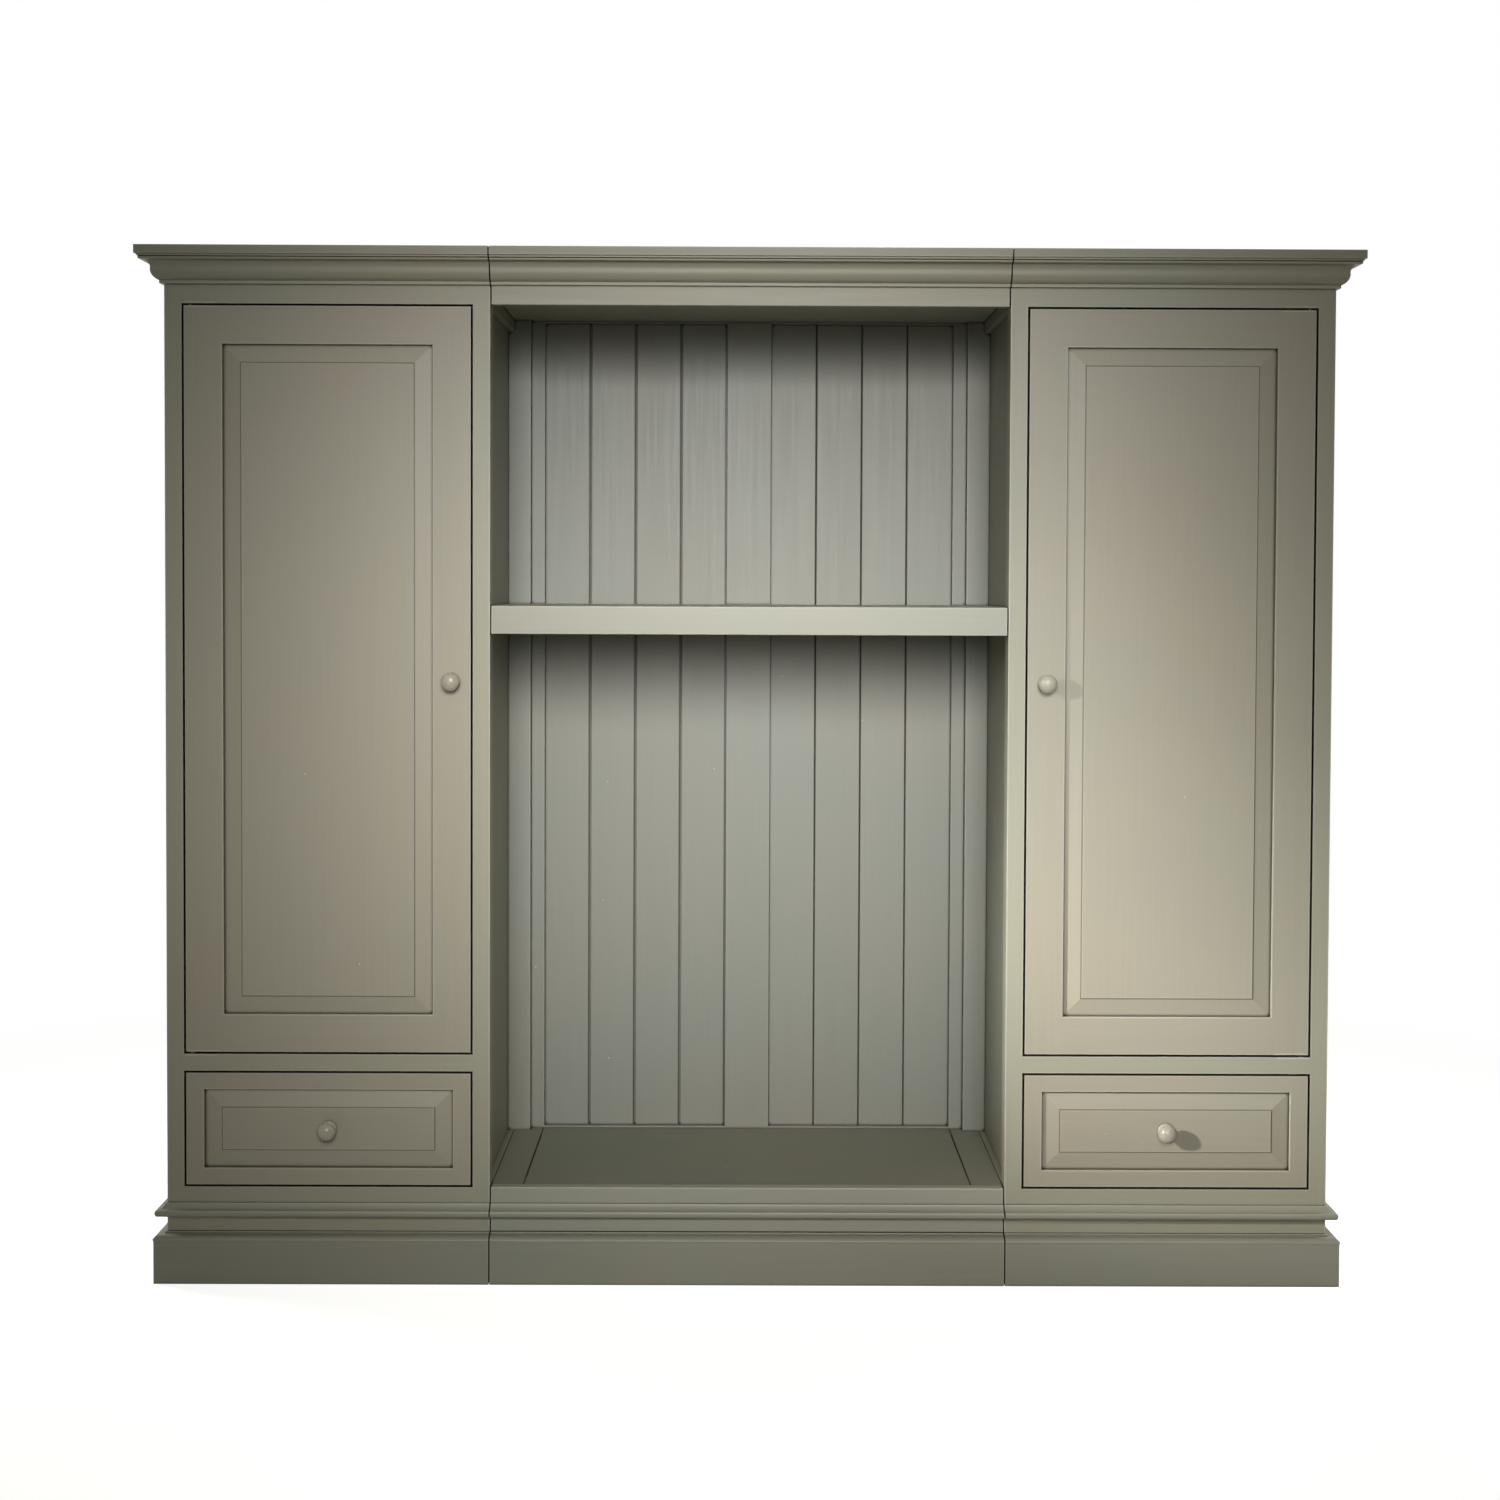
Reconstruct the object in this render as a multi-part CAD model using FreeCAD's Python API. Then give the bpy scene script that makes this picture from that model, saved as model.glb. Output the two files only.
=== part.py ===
"""Painted three-part cupboard: two tall cupboards with a drawer under each door, and an open bay between.

Millimetres, +Z up, front facing -Y. The origin is at the centre of the footprint, on the floor.
"""
import os

import FreeCAD
import Part

V = FreeCAD.Vector

# Overall sizes
cupboard_width = 626
bay_width = 1000
total_height = 1998
body_depth = 500

# Levels above the floor, and heights of the bands and rails between them
plinth_height = 98
base_band_height = 31.5
bench_level = 185
middle_rail_bottom = 410
middle_rail_height = 34
shelf_level = 1314.5
head_rail_height = 106
ceiling_rise = 25

# Face frames of the cupboards
stile_width = 34
stile_depth = 48
rail_depth = 24
door_gap = 3

# Boards of the carcasses
side_thickness = 18
inner_side_thickness = 16
inner_side_lap = 5.5
board_thickness = 18
back_thickness = 12

# Mouldings: how far each stands out, and its height
cornice_projection = 46.5
cornice_height = 70
base_moulding_projection = 20
base_moulding_height = 24
plinth_projection = 23.5
plinth_board_thickness = 30.5
plinth_rear_thickness = 20

# Joint between the cupboards and the bay
unit_gap = 1.5

# Doors and drawer fronts
front_thickness = 22
door_member_width = 74
drawer_stile_width = 35
drawer_rail_width = 33
panel_margin = 36
panel_field_setback = 1
panel_field_step = 1.5
panel_groove_setback = 8
panel_groove_width = 6
panel_groove_depth = 9
panel_back_setback = 2.5
panel_side_play = 1
panel_face_play = 0.2

# Knobs
knob_radius = 18
knob_projection = 38
knob_spigot_radius = 5
knob_spigot_length = 16
knob_hole_clearance = 0.1

# Pivot hinges
pivot_inset = 12
pivot_setback = 8
pivot_radius = 4
pivot_running_clearance = 0.05
pivot_length = 9
pivot_plate_length = 60
pivot_plate_width = 13
pivot_plate_thickness = 2.5
pivot_collar_radius = 6.5
pivot_seat_gap = 0.3
pivot_timber_clearance = 0.8
plate_play = 0.1

# Door catches
catch_level_share = 0.9
catch_height = 46
catch_width = 14
catch_length = 22
catch_gap = 0.3
strike_thickness = 1.5

# Shelves inside the cupboards
shelf_count = 3
loose_shelf_thickness = 18
loose_shelf_play = 1
loose_shelf_setback = 14
peg_radius = 3.5
peg_hole_depth = 10
peg_length = 24
peg_clearance = 0.1
peg_front_share = 0.15
peg_rear_share = 0.85
peg_seat_gap = 0.1

# Drawer boxes and what they run on
drawer_side_thickness = 12
drawer_rear_room = 46
drawer_side_inset = 2
drawer_side_drop = 24
drawer_bottom_thickness = 6
drawer_bottom_rise = 10
drawer_bottom_groove = 5
drawer_bottom_play = 0.3
slide_gap = 0.5
seat_gap = 0.3
runner_height = 20
runner_bearing = 14
kicker_height = 18
kicker_gap = 2
drawer_stop_length = 14

# Open bay
bay_post_width = 48
bay_post_depth = 44
back_frame_thickness = 26
back_frame_stile_width = 29
back_muntin_width = 94
back_rail_reveal = 4
back_board_count = 4
cupboard_back_board_count = 6
board_groove_depth = 2.5
tongue_length = 5
tongue_thickness = 4
tongue_play = 0.2
bench_thickness = 22
bench_end_width = 61.5
bench_front_width = 51
bench_back_width = 54
bench_panel_gap = 1.5
bench_rail_thickness = 24
post_clearance = 1.5
bearer_thickness = 30
shelf_thickness = 55
shelf_board_thickness = 22
shelf_lipping_depth = 24
shelf_cleat_width = 22
shelf_end_gap = 1.5
fascia_thickness = 24

# Connector bolts
bolt_radius = 3
bolt_clearance = 0.3
bolt_head_radius = 8
bolt_head_height = 4
bolt_depth_shares = (0.25, 0.7)

# Outlines as shares of a moulding's projection (out) and height (down from the top).
# A third pair, where there is one, is the point that an arc passes on its way.
cornice_shares = [
    (0, 0), (1, 0), (1, 0.235), (0.905, 0.235), (0.905, 0.29), (0.825, 0.29),
    ((0.865, 0.33), (0.825, 0.372)), (0.69, 0.372), ((0.52, 0.445), (0.462, 0.6)),
    ((0.395, 0.775), (0.172, 0.893)), (0.16, 0.893), (0.16, 0.978), (0, 1),
]
base_moulding_shares = [
    (0, 0), (0.16, 0), ((0.42, 0.34), (0.93, 0.5)), ((1, 0.76), (0.84, 1)), (0, 1),
]
plinth_cap_height = 14
plinth_cap_shares = [
    (0.15, 0), (0.15, 0.27), (0.27, 0.3), ((0.8, 0.44), (1, 0.8)), (1, 0.93), (0.94, 1),
]

# Knob outline as shares of its radius (out) and its projection (away from the door)
knob_shares = [
    (0.89, 0), (0.89, 0.06), ((0.8, 0.12), (0.6, 0.15)), ((0.47, 0.26), (0.5, 0.38)),
    ((0.62, 0.46), (0.9, 0.53)), ((1, 0.66), (0.86, 0.83)), ((0.52, 0.955), (0.1, 1)), (0, 1),
]

# Levels worked out from the sizes above
base_moulding_level = plinth_height + base_band_height
middle_rail_top = middle_rail_bottom + middle_rail_height
head_level = total_height - head_rail_height
ceiling_level = head_level + ceiling_rise
top_board_level = total_height - board_thickness

# Places worked out from the sizes above
front_y = (cornice_projection - body_depth) / 2
rear_y = front_y + body_depth
inner_x = -bay_width / 2
outer_x = inner_x - cupboard_width
opening_left = outer_x + stile_width
opening_right = inner_x - stile_width
outer_face_x = outer_x + side_thickness
inner_face_x = opening_right + inner_side_lap
panel_face_x = inner_face_x + inner_side_thickness
back_face_y = rear_y - back_thickness
rail_back_y = front_y + rail_depth
stile_back_y = front_y + stile_depth
bay_left = inner_x + unit_gap
bay_right = -bay_left
back_frame_y = rear_y - back_frame_thickness
post_y = rear_y - bay_post_depth
post_inner_x = panel_face_x + bay_post_width
door_left = opening_left + door_gap
door_right = opening_right - door_gap
door_bottom = middle_rail_top + door_gap
door_top = head_level - door_gap
drawer_bottom = bench_level + door_gap
drawer_top = middle_rail_bottom - door_gap
drawer_box_front = front_y + front_thickness
drawer_box_rear = back_face_y - drawer_rear_room
pivot_x = door_left + pivot_inset
pivot_y = front_y + pivot_setback


def box(x0, x1, y0, y1, z0, z1):
    """A block between two corners."""
    return Part.makeBox(x1 - x0, y1 - y0, z1 - z0, V(x0, y0, z0))


def group(shapes):
    """Several separate solids in one sub-part."""
    return Part.makeCompound(shapes)


def mirrored(shape):
    """The same piece on the other side of the cupboard."""
    return shape.mirror(V(0, 0, 0), V(1, 0, 0))


def wire_through(steps, place):
    """A closed wire through steps; a step of two pairs is an arc by way of the first pair."""
    edges = []
    here = place(*steps[0])
    start = here
    for step in steps[1:]:
        if isinstance(step[0], tuple):
            end = place(*step[1])
            edges.append(Part.Arc(here, place(*step[0]), end).toShape())
        else:
            end = place(*step)
            edges.append(Part.LineSegment(here, end).toShape())
        here = end
    edges.append(Part.LineSegment(here, start).toShape())
    return Part.Wire(edges)


def scaled(shares, out, drop, top):
    """Turns shares into (projection, level) pairs."""
    def pair(share):
        return (share[0] * out, top - share[1] * drop)
    steps = []
    for share in shares:
        if isinstance(share[0], tuple):
            steps.append((pair(share[0]), pair(share[1])))
        else:
            steps.append(pair(share))
    return steps


def front_run(steps, x0, x1):
    """A moulding along the front, from x0 to x1."""
    wire = wire_through(steps, lambda out, level: V(x0, front_y - out, level))
    return Part.Face(wire).extrude(V(x1 - x0, 0, 0))


def side_run(steps, y0, y1):
    """A moulding along the outer side, from y0 to y1."""
    wire = wire_through(steps, lambda out, level: V(outer_x - out, y0, level))
    return Part.Face(wire).extrude(V(0, y1 - y0, 0))


def mitre_tool():
    """Everything on the side's half of the mitre at the outer front corner."""
    reach = body_depth + cupboard_width
    corners = [
        V(outer_x - reach, front_y - reach, -reach),
        V(outer_x + reach, front_y + reach, -reach),
        V(outer_x - reach, front_y + reach, -reach),
        V(outer_x - reach, front_y - reach, -reach),
    ]
    height = total_height + reach + reach
    return Part.Face(Part.makePolygon(corners)).extrude(V(0, 0, height))


def mitred_moulding(steps, projection):
    """A front run and a side run of one moulding, mitred at the outer corner."""
    tool = mitre_tool()
    front = front_run(steps, outer_x - projection, inner_x).cut(tool)
    side = side_run(steps, front_y - projection, rear_y).common(tool)
    return [front.Solids[0], side.Solids[0]]


def cornice_steps():
    return scaled(cornice_shares, cornice_projection, cornice_height, total_height)


def base_moulding_steps():
    top = base_moulding_level + base_moulding_height
    return scaled(base_moulding_shares, base_moulding_projection, base_moulding_height, top)


def plinth_steps():
    """The plinth board's section: its face, the cap worked on it, and its flat back."""
    back = plinth_projection - plinth_board_thickness
    cap = scaled(plinth_cap_shares, plinth_projection, plinth_cap_height, plinth_height)
    face = cap[-1][0]
    return [(back, 0), (back, plinth_height)] + cap + [(face, 0)]


def cylinder(radius, length, centre, direction):
    return Part.makeCylinder(radius, length, centre, direction)


def shelf_levels():
    """Undersides of the loose shelves, evenly spaced in the cupboard."""
    pitch = (top_board_level - middle_rail_top + loose_shelf_thickness) / (shelf_count + 1)
    return [middle_rail_top + pitch * (i + 1) - loose_shelf_thickness for i in range(shelf_count)]


def peg_places():
    """Depth and level of each peg's axis on one side."""
    depth = back_face_y - stile_back_y
    ys = [stile_back_y + depth * share for share in (peg_front_share, peg_rear_share)]
    drop = peg_radius + peg_seat_gap
    return [(y, level - drop) for level in shelf_levels() for y in ys]


def bolt_places():
    """Depth and level of each connector bolt's axis."""
    low = plinth_height + (bench_level - bench_thickness - plinth_height) / 2
    high = ceiling_level + board_thickness + (top_board_level - ceiling_level - board_thickness) / 2
    depth = back_frame_y - rail_back_y
    return [(rail_back_y + depth * share, level) for level in (low, high) for share in bolt_depth_shares]


def drilled(shape, places, radius, x0, x1):
    """Cuts one hole along X at each place."""
    for y, z in places:
        shape = shape.cut(cylinder(radius, x1 - x0, V(x0, y, z), V(1, 0, 0)))
    return shape


def outer_side():
    panel = box(outer_x, outer_face_x, stile_back_y, rear_y, plinth_height, total_height)
    return drilled(panel, peg_places(), peg_radius + peg_clearance, outer_face_x - peg_hole_depth, outer_face_x)


def inner_side():
    """The bay side of a cupboard: a recessed panel with a rail at its foot and one at its head."""
    panel = box(inner_face_x, panel_face_x, stile_back_y, rear_y, plinth_height, total_height)
    panel = drilled(panel, peg_places(), peg_radius + peg_clearance, inner_face_x, inner_face_x + peg_hole_depth)
    foot = box(panel_face_x, inner_x, stile_back_y, post_y, plinth_height, bench_level)
    head = box(panel_face_x, inner_x, stile_back_y, post_y, head_level, total_height)
    pieces = []
    for piece in (panel, foot, head):
        pieces.append(drilled(piece, bolt_places(), bolt_radius + bolt_clearance, inner_face_x, inner_x))
    return group(pieces)


def pivot_recess(level, direction):
    """Room for a hinge plate in a rail, from level and away from the door."""
    low, high = sorted((level, level + direction * pivot_plate_thickness))
    half = pivot_plate_width / 2 + plate_play
    return box(door_left, door_left + pivot_plate_length + plate_play, pivot_y - half, pivot_y + half, low, high)


def face_frame():
    """Two stiles and three rails, with room for the hinge plates in the rails."""
    left = box(outer_x, opening_left, front_y, stile_back_y, plinth_height, total_height)
    right = box(opening_right, inner_x, front_y, stile_back_y, plinth_height, total_height)
    bottom = box(opening_left, opening_right, front_y, rail_back_y, plinth_height, bench_level)
    middle = box(opening_left, opening_right, front_y, rail_back_y, middle_rail_bottom, middle_rail_top)
    top = box(opening_left, opening_right, front_y, rail_back_y, head_level, total_height)
    middle = middle.cut(pivot_recess(middle_rail_top, -1))
    top = top.cut(pivot_recess(head_level, 1))
    return group([left, right, bottom, middle, top])


def board_behind_rails(low, high, y1):
    """A level board from the rails of the face frame back to y1, notched round the two stiles."""
    board = box(outer_face_x, inner_face_x, rail_back_y, y1, low, high)
    board = board.cut(box(outer_face_x, opening_left, rail_back_y, stile_back_y, low, high))
    return board.cut(box(opening_right, inner_face_x, rail_back_y, stile_back_y, low, high))


def top_board():
    return board_behind_rails(top_board_level, total_height, rear_y)


def cupboard_floor():
    return board_behind_rails(middle_rail_top - board_thickness, middle_rail_top, back_face_y)


def base_board():
    return board_behind_rails(plinth_height, plinth_height + board_thickness, back_face_y)


def matched_boards(x0, x1, y0, y1, z0, z1, count):
    """Upright tongued and grooved boards with a small V at each joint of the front face."""
    pitch = (x1 - x0) / count
    tongue_y0 = (y0 + y1 - tongue_thickness) / 2
    tongue_y1 = tongue_y0 + tongue_thickness
    bevel = board_groove_depth
    boards = []
    for i in range(count):
        a = x0 + pitch * i
        b = a + pitch
        points = []
        if i:
            points += [(a + bevel, y0), (a, y0 + bevel), (a, tongue_y0 - tongue_play),
                       (a + tongue_length + tongue_play, tongue_y0 - tongue_play),
                       (a + tongue_length + tongue_play, tongue_y1 + tongue_play),
                       (a, tongue_y1 + tongue_play), (a, y1)]
        else:
            points += [(a, y0), (a, y1)]
        if i < count - 1:
            points += [(b, y1), (b, tongue_y1), (b + tongue_length, tongue_y1),
                       (b + tongue_length, tongue_y0), (b, tongue_y0), (b, y0 + bevel), (b - bevel, y0)]
        else:
            points += [(b, y1), (b, y0)]
        corners = [V(x, y, z0) for x, y in points]
        boards.append(Part.Face(Part.makePolygon(corners + corners[:1])).extrude(V(0, 0, z1 - z0)))
    return boards


def back_boards():
    return group(matched_boards(outer_face_x, inner_face_x, back_face_y, rear_y,
                                plinth_height, top_board_level, cupboard_back_board_count))


def shelves():
    boards = []
    for level in shelf_levels():
        boards.append(box(outer_face_x + loose_shelf_play, inner_face_x - loose_shelf_play,
                          stile_back_y + loose_shelf_setback, back_face_y - loose_shelf_play,
                          level, level + loose_shelf_thickness))
    return group(boards)


def shelf_pegs():
    pegs = []
    for y, z in peg_places():
        pegs.append(cylinder(peg_radius, peg_length, V(outer_face_x - peg_hole_depth, y, z), V(1, 0, 0)))
        pegs.append(cylinder(peg_radius, peg_length, V(inner_face_x + peg_hole_depth, y, z), V(-1, 0, 0)))
    return group(pegs)


def drawer_box_sides():
    """Outer faces of the drawer's two sides."""
    return door_left + drawer_side_inset, door_right - drawer_side_inset


def drawer_side_top():
    return drawer_top - drawer_side_drop


def drawer_runners():
    """On each side a runner under the drawer, a guide beside it, a kicker over it and a stop behind it."""
    box_left, box_right = drawer_box_sides()
    run_top = drawer_bottom - seat_gap
    side_top = drawer_side_top()
    kick = side_top + kicker_gap
    strips = []
    for wall, drawer_face, inward in ((outer_face_x, box_left, 1), (inner_face_x, box_right, -1)):
        bearing = drawer_face + inward * runner_bearing
        guide = drawer_face - inward * slide_gap
        a, b = sorted((wall, bearing))
        c, d = sorted((wall, guide))
        strips.append(box(a, b, stile_back_y, back_face_y, run_top - runner_height, run_top))
        strips.append(box(c, d, stile_back_y, back_face_y, run_top, kick))
        strips.append(box(a, b, stile_back_y, back_face_y, kick, kick + kicker_height))
        e, f = sorted((guide, bearing))
        stop_y = drawer_box_rear + seat_gap
        strips.append(box(e, f, stop_y, stop_y + drawer_stop_length, run_top, run_top + runner_height))
    return group(strips)


def plinth():
    """Moulded boards on the front and the outer side, plain ones on the inner side and at the back."""
    steps = plinth_steps()
    front, side = mitred_moulding(steps, plinth_projection)
    inset = plinth_board_thickness - plinth_projection
    rear_front = rear_y - plinth_rear_thickness
    inner = box(inner_x - plinth_rear_thickness, inner_x, front_y + inset, rear_front, 0, plinth_height)
    rear = box(outer_x + inset, inner_x, rear_front, rear_y, 0, plinth_height)
    return group([front, side, inner, rear])


def base_moulding():
    return group(mitred_moulding(base_moulding_steps(), base_moulding_projection))


def cornice():
    return group(mitred_moulding(cornice_steps(), cornice_projection))


def rectangle_wedge(x0, x1, z0, z1, y_front, y_back, margin):
    """A block whose front face is smaller than its back by a margin all round."""
    return Part.makeWedge(x0 + margin, y_front, z0 + margin, z0, x0, x1 - margin, y_back, z1 - margin, z1, x1)


def framed_front(x0, x1, z0, z1, stile, rail):
    """A frame of two stiles and two rails, grooved for a raised panel, and that panel."""
    y0 = front_y
    y1 = front_y + front_thickness
    a, b = x0 + stile, x1 - stile
    c, d = z0 + rail, z1 - rail
    groove_front = y0 + panel_groove_setback
    groove_back = groove_front + panel_groove_width
    groove = box(a - panel_groove_depth, b + panel_groove_depth, groove_front, groove_back,
                 c - panel_groove_depth, d + panel_groove_depth)
    members = [
        box(x0, a, y0, y1, z0, z1).cut(groove),
        box(b, x1, y0, y1, z0, z1).cut(groove),
        box(a, b, y0, y1, z0, c).cut(groove),
        box(a, b, y0, y1, d, z1).cut(groove),
    ]
    play = panel_side_play
    face = panel_face_play
    tongue = panel_groove_depth - play
    tongue_front = groove_front + face
    tongue_back = groove_back - face
    plate = box(a - tongue, b + tongue, tongue_front, tongue_back, c - tongue, d + tongue)
    back = box(a + play, b - play, tongue_back, y1 - panel_back_setback, c + play, d - play)
    bevel_top = y0 + panel_field_setback + panel_field_step
    bevel = rectangle_wedge(a + face, b - face, c + face, d - face, bevel_top, tongue_front, panel_margin - face)
    m = panel_margin
    field = box(a + m, b - m, y0 + panel_field_setback, bevel_top, c + m, d - m)
    panel = plate.fuse([back, bevel, field]).removeSplitter()
    return members, panel.Solids[0]


def door_parts():
    members, panel = framed_front(door_left, door_right, door_bottom, door_top, door_member_width, door_member_width)
    shaped = []
    for member in members:
        for level, direction in ((door_bottom, 1), (door_top, -1)):
            low, high = sorted((level, level + direction * pivot_plate_thickness))
            half = pivot_plate_width / 2 + plate_play
            start = pivot_x - pivot_plate_width / 2 - plate_play
            member = member.cut(box(start, start + pivot_plate_length + plate_play,
                                    pivot_y - half, pivot_y + half, low, high))
            bore = pivot_radius + pivot_timber_clearance
            depth = pivot_plate_thickness + pivot_length
            member = member.cut(cylinder(bore, depth, V(pivot_x, pivot_y, level), V(0, 0, direction)))
        member = member.cut(knob_hole(door_knob_place()))
        shaped.append(member)
    return shaped, panel


def door_knob_place():
    return door_right - door_member_width / 2, (door_bottom + door_top) / 2


def drawer_knob_place():
    return (door_left + door_right) / 2, (drawer_bottom + drawer_top) / 2


def knob_hole(place):
    radius = knob_spigot_radius + knob_hole_clearance
    return cylinder(radius, front_thickness, V(place[0], front_y, place[1]), V(0, 1, 0))


def knob_face(place):
    """How far behind the front plane the knob's base sits: on a frame, or on a panel's field."""
    if place == drawer_knob_place():
        return panel_field_setback
    return 0


def knob(place):
    """A turned knob with a spigot glued into its hole."""
    x, z = place
    face_y = front_y + knob_face(place)
    spigot = [(0, -knob_spigot_length), (knob_spigot_radius, -knob_spigot_length), (knob_spigot_radius, 0)]
    steps = spigot + scaled(knob_shares, knob_radius, -knob_projection, 0)
    wire = wire_through(steps, lambda out, away: V(out, -away, 0))
    turned = Part.Face(wire).revolve(V(0, 0, 0), V(0, 1, 0), 360).Solids[0]
    turned.translate(V(x, face_y, z))
    return turned


def pivot_sockets():
    """On the door: a bored plate at the top and the bottom, and the strike of the catch."""
    pieces = []
    for level, direction in ((door_bottom, 1), (door_top, -1)):
        low, high = sorted((level, level + direction * pivot_plate_thickness))
        half = pivot_plate_width / 2
        plate = box(pivot_x - half, pivot_x - half + pivot_plate_length - plate_play,
                    pivot_y - half, pivot_y + half, low, high)
        bore = pivot_radius + pivot_running_clearance
        pieces.append(plate.cut(cylinder(bore, pivot_plate_thickness, V(pivot_x, pivot_y, low), V(0, 0, 1))))
    x0, x1, z0, z1 = catch_place()
    y = front_y + front_thickness
    pieces.append(box(x0, x1 - door_gap, y, y + strike_thickness, z0, z1))
    return group(pieces)


def catch_place():
    """Sides and levels of the catch, against the inner stile."""
    level = middle_rail_top + (head_level - middle_rail_top) * catch_level_share
    return opening_right - catch_width, opening_right, level, level + catch_height


def pivot_pins():
    """On the frame: two plates with pins, a collar under the door, and the catch."""
    pieces = []
    half = pivot_plate_width / 2
    for level, direction in ((middle_rail_top, 1), (head_level, -1)):
        low, high = sorted((level, level - direction * pivot_plate_thickness))
        plate = box(door_left + plate_play, door_left + pivot_plate_length,
                    pivot_y - half, pivot_y + half, low, high)
        reach = door_gap + pivot_length
        pin = cylinder(pivot_radius, reach, V(pivot_x, pivot_y, level), V(0, 0, direction))
        piece = plate.fuse(pin)
        if direction > 0:
            collar = cylinder(pivot_collar_radius, door_gap - pivot_seat_gap, V(pivot_x, pivot_y, level), V(0, 0, 1))
            piece = piece.fuse(collar)
        pieces.append(piece.removeSplitter().Solids[0])
    x0, x1, z0, z1 = catch_place()
    y = front_y + front_thickness + strike_thickness + catch_gap
    pieces.append(box(x0, x1, y, y + catch_length, z0, z1))
    return group(pieces)


def drawer_front():
    members, panel = framed_front(door_left, door_right, drawer_bottom, drawer_top,
                                  drawer_stile_width, drawer_rail_width)
    return members, panel.cut(knob_hole(drawer_knob_place()))


def drawer_box():
    """Two sides, a back and an inner front, with the bottom let into the sides."""
    box_left, box_right = drawer_box_sides()
    t = drawer_side_thickness
    y0, y1 = drawer_box_front, drawer_box_rear
    z0, z1 = drawer_bottom, drawer_side_top()
    floor = drawer_bottom_panel(drawer_bottom_play)
    pieces = [
        box(box_left, box_left + t, y0, y1, z0, z1),
        box(box_right - t, box_right, y0, y1, z0, z1),
        box(box_left + t, box_right - t, y0, y0 + t, z0, z1),
        box(box_left + t, box_right - t, y1 - t, y1, z0, z1),
    ]
    hole = knob_hole(drawer_knob_place())
    return group([piece.cut(floor).cut(hole) for piece in pieces])


def drawer_bottom_panel(play=0):
    """The drawer's bottom, or with play the room that is cut for it."""
    box_left, box_right = drawer_box_sides()
    reach = drawer_side_thickness - drawer_bottom_groove - play
    z0 = drawer_bottom + drawer_bottom_rise
    return box(box_left + reach, box_right - reach, drawer_box_front + reach, drawer_box_rear - reach,
               z0 - play, z0 + drawer_bottom_thickness + play)


def notched(shape):
    """Leaves room round the two corner posts."""
    edge = post_inner_x + post_clearance
    left = box(panel_face_x, edge, post_y - post_clearance, rear_y, 0, total_height)
    return shape.cut(left).cut(mirrored(left))


def bay_plinth():
    steps = plinth_steps()
    front = front_run(steps, bay_left, bay_right)
    inset = plinth_board_thickness - plinth_projection
    rear_front = rear_y - plinth_rear_thickness
    t = plinth_rear_thickness
    left = box(bay_left, bay_left + t, front_y + inset, rear_front, 0, plinth_height)
    right = box(bay_right - t, bay_right, front_y + inset, rear_front, 0, plinth_height)
    rear = box(bay_left, bay_right, rear_front, rear_y, 0, plinth_height)
    return group([front, left, right, rear])


def bay_base_moulding():
    return front_run(base_moulding_steps(), bay_left, bay_right)


def bay_cornice():
    return front_run(cornice_steps(), bay_left, bay_right)


def bench_front_rail():
    return box(bay_left, bay_right, front_y, front_y + bench_rail_thickness, plinth_height, bench_level)


def bearer_set(y0, low, high):
    """Bearers from y0 back along the sides and the middle of the bay, bored for the connector bolts."""
    t = bearer_thickness
    y1 = post_y - post_clearance
    pieces = [
        box(bay_left, bay_left + t, y0, y1, low, high),
        box(-t / 2, t / 2, y0, back_frame_y, low, high),
        box(bay_right - t, bay_right, y0, y1, low, high),
    ]
    radius = bolt_radius + bolt_clearance
    pieces[0] = drilled(pieces[0], bolt_places(), radius, bay_left, bay_left + t)
    pieces[2] = drilled(pieces[2], bolt_places(), radius, bay_right - t, bay_right)
    return pieces


def bench_bearers():
    rail_back = front_y + bench_rail_thickness
    return group(bearer_set(rail_back, plinth_height, bench_level - bench_thickness))


def bench_top():
    """A frame of four members with a panel let in, open by a thin joint at each end of the panel."""
    low = bench_level - bench_thickness
    y0 = front_y + bench_rail_thickness
    a, b = bay_left + bench_end_width, bay_right - bench_end_width
    ends = [
        notched(box(bay_left, a, y0, back_frame_y, low, bench_level)),
        notched(box(b, bay_right, y0, back_frame_y, low, bench_level)),
    ]
    y1 = y0 + bench_front_width
    y2 = back_frame_y - bench_back_width
    front = box(a, b, y0, y1, low, bench_level)
    back = box(a, b, y2, back_frame_y, low, bench_level)
    panel = box(a + bench_panel_gap, b - bench_panel_gap, y1, y2, low, bench_level)
    return group(ends + [front, back, panel])


def corner_posts():
    post = box(panel_face_x, post_inner_x, post_y, rear_y, plinth_height, total_height)
    return group([post, mirrored(post)])


def back_frame_windows():
    """Left and right edges of the two boarded openings, and their two levels."""
    edge = post_inner_x + back_frame_stile_width
    half = back_muntin_width / 2
    return ((edge, -half), (half, -edge)), bench_level + back_rail_reveal, ceiling_level - back_rail_reveal


def bay_back_frame():
    windows, low, high = back_frame_windows()
    z0, z1 = plinth_height, top_board_level
    edge = windows[0][0]
    half = back_muntin_width / 2
    pieces = [
        box(post_inner_x, edge, back_frame_y, rear_y, z0, z1),
        box(-half, half, back_frame_y, rear_y, low, high),
        box(-edge, -post_inner_x, back_frame_y, rear_y, z0, z1),
        box(edge, -edge, back_frame_y, rear_y, z0, low),
        box(edge, -edge, back_frame_y, rear_y, high, z1),
    ]
    return group(pieces)


def bay_back_boards():
    windows, low, high = back_frame_windows()
    boards = []
    for x0, x1 in windows:
        boards += matched_boards(x0, x1, back_face_y, rear_y, low, high, back_board_count)
    return group(boards)


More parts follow.
